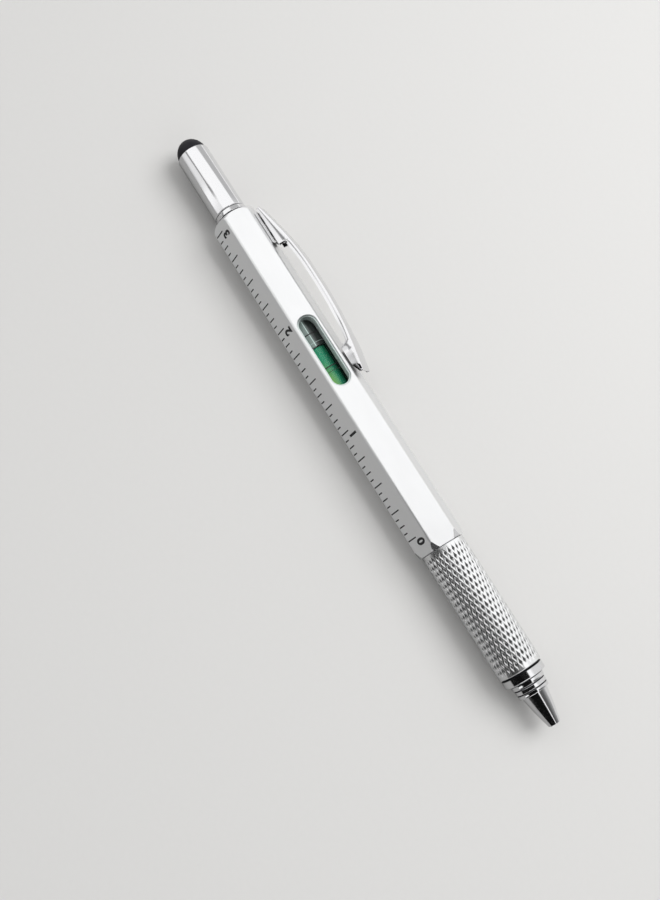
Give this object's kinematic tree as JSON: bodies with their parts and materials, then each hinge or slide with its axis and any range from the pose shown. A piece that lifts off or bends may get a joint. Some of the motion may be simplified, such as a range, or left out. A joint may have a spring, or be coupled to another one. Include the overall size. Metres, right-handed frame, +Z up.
{
  "type": "multi tool pen",
  "caption": "Hexagonal aluminium tool pen with a spirit level, engraved ruler, spring clip, knurled twist grip, ball-point, and a cap with a stylus over a screwdriver bit.",
  "frame": {"origin": "on the barrel's bottom flat, under the middle of the barrel's length", "axes": "+X along the pen towards the writing tip, +Z up through the flat with the level window, +Y towards the side that carries the clip"},
  "size_m": [0.144, 0.0138, 0.0105],
  "materials": {
    "satin_aluminium": "satin anodised",
    "chrome": "polished",
    "steel": "machined",
    "brass": "turned",
    "black_rubber": "matt",
    "white_plastic": "moulded",
    "black_plastic": "moulded",
    "clear_acrylic": "clear",
    "green_liquid": "clear liquid",
    "ink": "paste"
  },
  "bodies": {
    "barrel": {"hex_barrel": "satin_aluminium", "vial_cradle": "white_plastic", "vial_tube": "clear_acrylic", "vial_plug": "white_plastic", "vial_liquid": "green_liquid", "bit_holder": "chrome", "bit_magnet": "steel", "cam_tube": "steel", "clip_base": "chrome", "clip_rivet_1": "steel", "clip_rivet_2": "steel"},
    "grip": {"knurled_grip": "satin_aluminium", "nose_cone": "chrome", "guide_tube": "white_plastic", "friction_ring": "black_rubber"},
    "refill": {"plunger": "black_plastic", "cross_pin": "steel", "refill_tube": "brass", "refill_ink": "ink", "refill_point": "brass", "refill_ball": "steel"},
    "cap": {"cap_sleeve": "chrome", "stylus_plug": "steel", "stylus_tip": "black_rubber"},
    "bit": {"screwdriver_bit": "steel"},
    "clip": {"clip_arm": "chrome"}
  },
  "joints": [
    {"name": "grip_twist", "type": "hinge", "parent": "barrel", "child": "grip", "pos_m": [0.04135, 0, 0.0048], "axis": [1, 0, 0], "range_deg": [0, 180]},
    {"name": "refill_feed", "type": "slide", "parent": "grip", "child": "refill", "axis": [1, 0, 0], "range_m": [0, 0.004]},
    {"name": "cap_pull", "type": "slide", "parent": "barrel", "child": "cap", "axis": [-1, 0, 0], "range_m": [0, 0.06]},
    {"name": "bit_pull", "type": "slide", "parent": "barrel", "child": "bit", "axis": [-1, 0, 0], "range_m": [0, 0.025]},
    {"name": "clip_flex", "type": "hinge", "parent": "barrel", "child": "clip", "pos_m": [-0.03945, 0.00494, 0.00765], "axis": [0, -0.5, 0.866], "range_deg": [0, 4], "stiffness_Nm_per_rad": 0.2}
  ],
  "couplings": [
    {"joint": "grip_twist", "follows": "refill_feed", "rad_per_m": 785.4},
    {"joint": "bit_pull", "follows": "cap_pull", "ratio": 0.41667}
  ]
}
